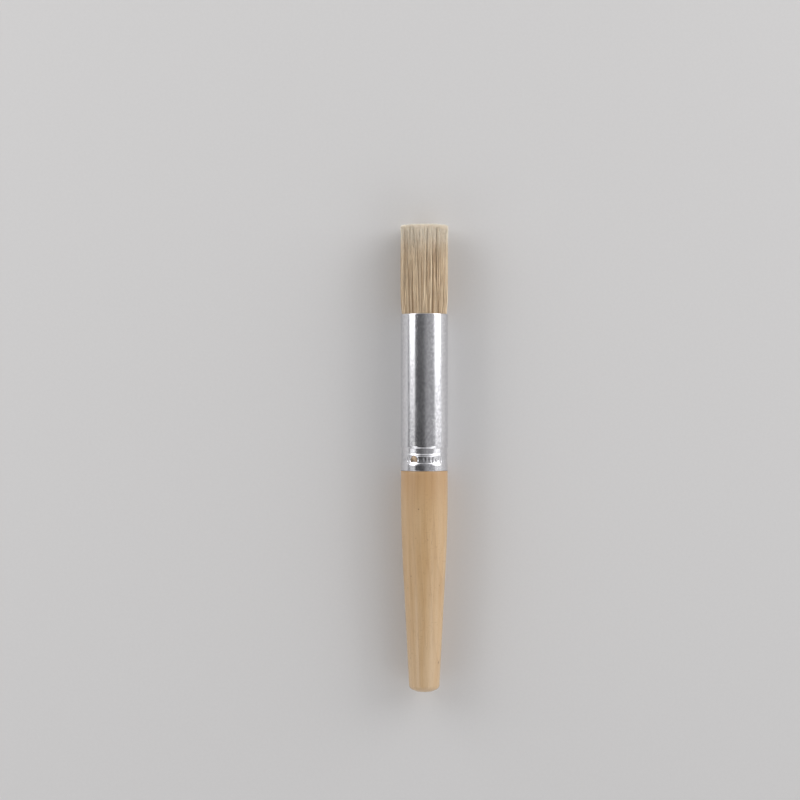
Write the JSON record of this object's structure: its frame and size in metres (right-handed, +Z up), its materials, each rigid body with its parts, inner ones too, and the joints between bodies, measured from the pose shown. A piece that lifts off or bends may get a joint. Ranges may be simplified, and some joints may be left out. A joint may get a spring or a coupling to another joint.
{
  "type": "stencil brush",
  "caption": "Round stencil brush with a tapered wooden handle, a long crimped metal ferrule and a dense, flat-cut tuft of natural bristle.",
  "frame": {"origin": "under the middle of the brush's length and width, on the surface that it lies on", "axes": "+Y along the brush towards the bristle tips, +Z up from the surface, +X to the right as seen from above with the bristles away from the viewer"},
  "size_m": [0.019, 0.188, 0.0191],
  "materials": {
    "lacquered_wood": "pale fine-grained hardwood under a thin satin clear lacquer",
    "ferrule_metal": "bright drawn tube with faint rings round it from polishing",
    "natural_bristle": "cream natural hog bristle, paler at the tips",
    "set_resin": "clear amber set resin"
  },
  "bodies": {
    "root": {"handle": "lacquered_wood", "ferrule": "ferrule_metal", "bristle_tuft": "natural_bristle", "setting_resin": "set_resin"}
  },
  "joints": []
}
